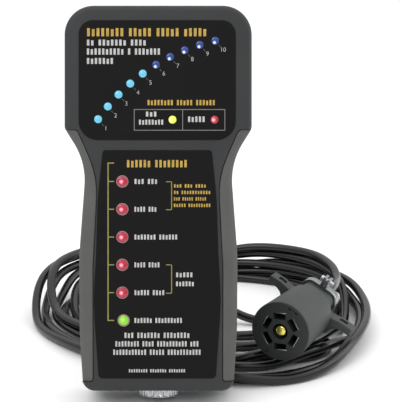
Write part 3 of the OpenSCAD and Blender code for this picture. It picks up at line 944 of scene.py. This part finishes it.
def make_plug_housing():
    body, rear = PLUG_R - 2.4, PLUG_REAR_R
    profile = [(body, FLANGE_T), (PLUG_R - 0.1, FLANGE_T), (PLUG_R, FLANGE_T + 0.3),
               (rear + 0.15, PLUG_LEN - 4)]
    for k in range(7):
        a = math.pi / 2 * k / 6
        profile.append((rear - 2.4 + 2.5 * math.cos(a), PLUG_LEN - 2.5 + 2.5 * math.sin(a)))
    profile += [(11, PLUG_LEN), (11, PLUG_LEN - 6), (17, PLUG_LEN - 6), (17, 30), (body, 30)]
    shell = revolve("plug_body", profile, along_plug(0), PLUG_GREY, steps=96)
    neck_end = PLUG_LEN + CLAMP_LEN
    neck = loft("neck", strap_outline(STRAP_T), [(0, PLUG_LEN - 3)] + edge_arc(1, neck_end, True),
                along_plug(0))
    bore = pin(11, PLUG_LEN - 8, neck_end + 2, along_plug(0), 48)
    wings = [make_wing(side) for side in (-1, 1)]
    for part in [neck] + wings:
        combine(shell, part, "UNION")
    cut(shell, bore, pin(1.7, 0, 4, PLUG @ Matrix.Translation((0, 12, -PLUG_R - 2))))
    tidy_edges(shell, 0, smooth=30)
    settle(paint(shell, PLUG_GREY), "harness", "plug_nylon", "plug_housing")
    return shell


SLOT_R = 11.2
SLOT_D = 4.4
SLOT_HALF = 4.6
BLADE_HALF = 5.1
BLADE_T = 0.8


def box_tool(x0, x1, y0, y1, z0, z1, place):
    return prism("tool", [(x0, y0, 0), (x1, y0, 0), (x1, y1, 0), (x0, y1, 0)], z0, z1, place)


def make_plug_face():
    """The insert: a flange over the barrel's mouth, six slots, a centre well and key marks."""
    rim, body = PLUG_R - 0.3, PLUG_R - 2.4
    profile = [(0, 0), (rim - 0.5, 0), (rim - 0.1, 0.15), (rim, 0.5), (rim, FLANGE_T),
               (body, FLANGE_T), (body, 29.8), (0, 29.8)]
    face = revolve("plug_socket", profile, along_plug(0), PLUG_FACE, steps=96)
    tools = [pin(5.9, -1, 14, along_plug(0), 48), pin(2.2, 10, 40, along_plug(0))]
    outer = SLOT_R + SLOT_D / 2
    for i in range(6):
        turn = PLUG @ Matrix.Rotation(math.radians(60 * i), 4, "Y")
        tools.append(box_tool(SLOT_R - SLOT_D / 2, outer + 0.1, -2, 16, -SLOT_HALF, SLOT_HALF, turn))
        tools.append(box_tool(outer, outer + BLADE_T, -2, 16.1, -BLADE_HALF, BLADE_HALF, turn))
    for x in (-2, 3.8):
        tools.append(pin(0.9, -1, 1.6, along_plug(0) @ Matrix.Translation((x, -19.2, 0)), 20))
    tools.append(box_tool(-2, 3.8, -1, 0.5, 19.2, 19.5, PLUG))
    tools.append(pin(1.5, -1, 1, along_plug(0) @ Matrix.Translation((-1.4, 18.7, 0)), 24))
    cut(face, *tools)
    tidy_edges(face, 0, smooth=30)
    settle(paint(face, PLUG_FACE), "harness", "plug_face", "plug_insert")
    return face


def make_centre_pin():
    tip = [(0, 0.8), (2.4, 0.85), (3.3, 1.1), (3.9, 1.7), (4.1, 2.6), (4.1, 14), (2.2, 14), (2.2, 32),
           (0, 32)]
    made = revolve("plug_pin", tip, along_plug(0), BRASS, steps=48)
    return settle(made, "harness", "brass", "plug_centre_pin")


def ribbed(profile_start, profile_end, start, end, ribs, relief):
    """Outer profile of a flexible boot: a taper with rounded ribs."""
    points = []
    steps = ribs * 10
    for k in range(steps + 1):
        share = k / steps
        radius = profile_start + (profile_end - profile_start) * share
        radius -= relief * (0.5 - 0.5 * math.cos(2 * math.pi * ribs * share)) * (1 - 0.4 * share)
        points.append((radius, start + (end - start) * share))
    return points


def make_grommet():
    bore = CORD_REST
    start = PLUG_LEN + CLAMP_LEN
    profile = [(bore, PLUG_LEN - 3), (10.9, PLUG_LEN - 3), (10.9, start)]
    profile += ribbed(10.9, 4.9, start + 0.2, start + GROMMET_LEN, 4, 0.9)
    profile += [(bore, start + GROMMET_LEN)]
    made = revolve("plug_boot", profile, along_plug(0), BOOT_BLACK, steps=48)
    return settle(made, "harness", "seal_rubber", "plug_grommet")


# ---------------------------------------------------------------- near connector
def make_coupling_ring():
    """The turning ring, knurled on its outside."""
    edge = 0.8
    inner = RECEPTACLE_R + 0.2
    profile = [(inner, 0.4), (inner + 0.4, 0), (RING_R - edge, 0), (RING_R, edge),
               (RING_R, RING_LEN - edge), (RING_R - edge, RING_LEN), (13.2, RING_LEN),
               (13.2, RING_LEN - 1), (inner, RING_LEN - 1)]

    def knurl(a, r, z):
        return -0.4 * (0.5 - 0.5 * math.cos(40 * a)) if r > RING_R - 0.1 else 0

    made = revolve("knurled_ring", profile, CONNECTOR, NICKEL, steps=320, wave=knurl, smooth=40)
    return settle(made, "coupling_ring", "nickel", "coupling_ring")


def make_connector_boot():
    bore = CORD_REST
    start = SHELL_LEN + NUT_LEN
    profile = [(bore, SHELL_LEN), (8.55, SHELL_LEN), (8.55, start), (9.6, start)]
    profile += ribbed(9.6, 4.9, start + 0.2, start + BOOT_LEN, 6, 0.8)
    profile += [(bore, start + BOOT_LEN)]
    made = revolve("connector_sleeve", profile, CONNECTOR, BOOT_BLACK, steps=48)
    return settle(made, "harness", "seal_rubber", "connector_boot")


# ---------------------------------------------------------------- build
make_front_shell()
make_rear_shell()
make_grip(-1, "left_grip", "grip_left")
make_grip(1, "right_grip", "grip_right")
make_lamps()
make_print()
make_receptacle()
plug_pieces = [make_plug_housing(), make_plug_face(), make_centre_pin(), make_grommet()]
for node, slot, material, width in (("plug_clamp_right", "clamp_metal", CLAMP_STEEL, 0.35),
                                    ("plug_clamp_left", "clamp_metal", CLAMP_STEEL, 0.35),
                                    ("plug_clamp_screws", "screw_steel", SCREW_STEEL, 0.3),
                                    ("plug_blades", "clamp_metal", CLAMP_STEEL, 0.12),
                                    ("insert_screw", "screw_steel", SCREW_STEEL, 0.15),
                                    ("connector_shell", "nickel", NICKEL, 0.35),
                                    ("backshell_nut", "nickel", NICKEL, 0.5)):
    plug_pieces.append(softened(node, "harness", slot, material, width))
plug_pieces.append(make_connector_boot())
make_coupling_ring()
softened("case_screws", "handset", "dark_steel", DARK_STEEL, 0.3)
softened("receptacle_nut", "handset", "nickel", NICKEL, 0.5)
softened("load_resistors", "handset", "resistor_gold", RESISTOR, 0.6)
softened("heat_spreader", "handset", "aluminium", ALUMINIUM, 0.4)

CAD_FINISHES = {"case_seal": SEAL_BLACK, "upper_label": LABEL_BLACK, "lower_label": LABEL_BLACK,
                "circuit_board": BOARD, "control_chip": MOULDED_BLACK,
                "drive_transistors": MOULDED_BLACK, "terminal_block": TERMINAL,
                "wire_loom": WIRES, "board_screws": SCREW_STEEL,
                "receptacle_insert": MOULDED_BLACK, "receptacle_pins": GOLD,
                "receptacle_seal": SEAL_BLACK, "connector_insert": MOULDED_BLACK,
                "connector_contacts": GOLD}
for node, material in CAD_FINISHES.items():
    paint(cad[node], material)
paint(harness_cord, CORD_BLACK)


# ---------------------------------------------------------------- stage
def make_stage():
    data = bpy.data.meshes.new("floor")
    half = 8
    data.from_pydata([(-half, -half, 0), (half, -half, 0), (half, half, 0), (-half, half, 0)],
                     [], [(0, 1, 2, 3)])
    floor = bpy.data.objects.new("floor", data)
    scene.collection.objects.link(floor)
    paint = bpy.data.materials.new("floor_paint")
    paint.use_nodes = True
    shader = paint.node_tree.nodes["Principled BSDF"]
    shader.inputs["Base Color"].default_value = (0.95, 0.95, 0.95, 1)
    shader.inputs["Roughness"].default_value = 0.9
    data.materials.append(paint)


def area_light(name, place, aim, size, power):
    data = bpy.data.lights.new(name, "AREA")
    data.shape = "RECTANGLE"
    data.size, data.size_y = size
    data.energy = power
    light = bpy.data.objects.new(name, data)
    light.location = place
    light.rotation_mode = "QUATERNION"
    light.rotation_quaternion = (Vector(aim) - Vector(place)).to_track_quat("-Z", "Y")
    scene.collection.objects.link(light)


def make_sky():
    """A white sky that is brighter overhead than at the horizon."""
    world = bpy.data.worlds.new("studio")
    world.use_nodes = True
    tree = world.node_tree
    where = tree.nodes.new("ShaderNodeTexCoord")
    height = tree.nodes.new("ShaderNodeSeparateXYZ")
    span = tree.nodes.new("ShaderNodeMapRange")
    span.inputs["To Min"].default_value = SKY_LOW
    span.inputs["To Max"].default_value = SKY_HIGH
    tree.links.new(where.outputs["Generated"], height.inputs["Vector"])
    tree.links.new(height.outputs["Z"], span.inputs["Value"])
    tree.links.new(span.outputs["Result"], tree.nodes["Background"].inputs["Strength"])
    tree.nodes["Background"].inputs["Color"].default_value = (1, 1, 1, 1)
    scene.world = world


def make_lights():
    area_light("key", (-0.7, -0.8, 1.3), (0, 0, 0.1), (0.9, 0.9), 5)
    area_light("rim", (1.0, 0.3, 0.5), (0.05, 0.05, 0.1), (0.4, 0.9), 2.2)


SKY_LOW = 0.45
SKY_HIGH = 1.5
make_sky()
make_stage()
make_lights()
scene.view_settings.view_transform = "Standard"

bpy.context.view_layer.update()
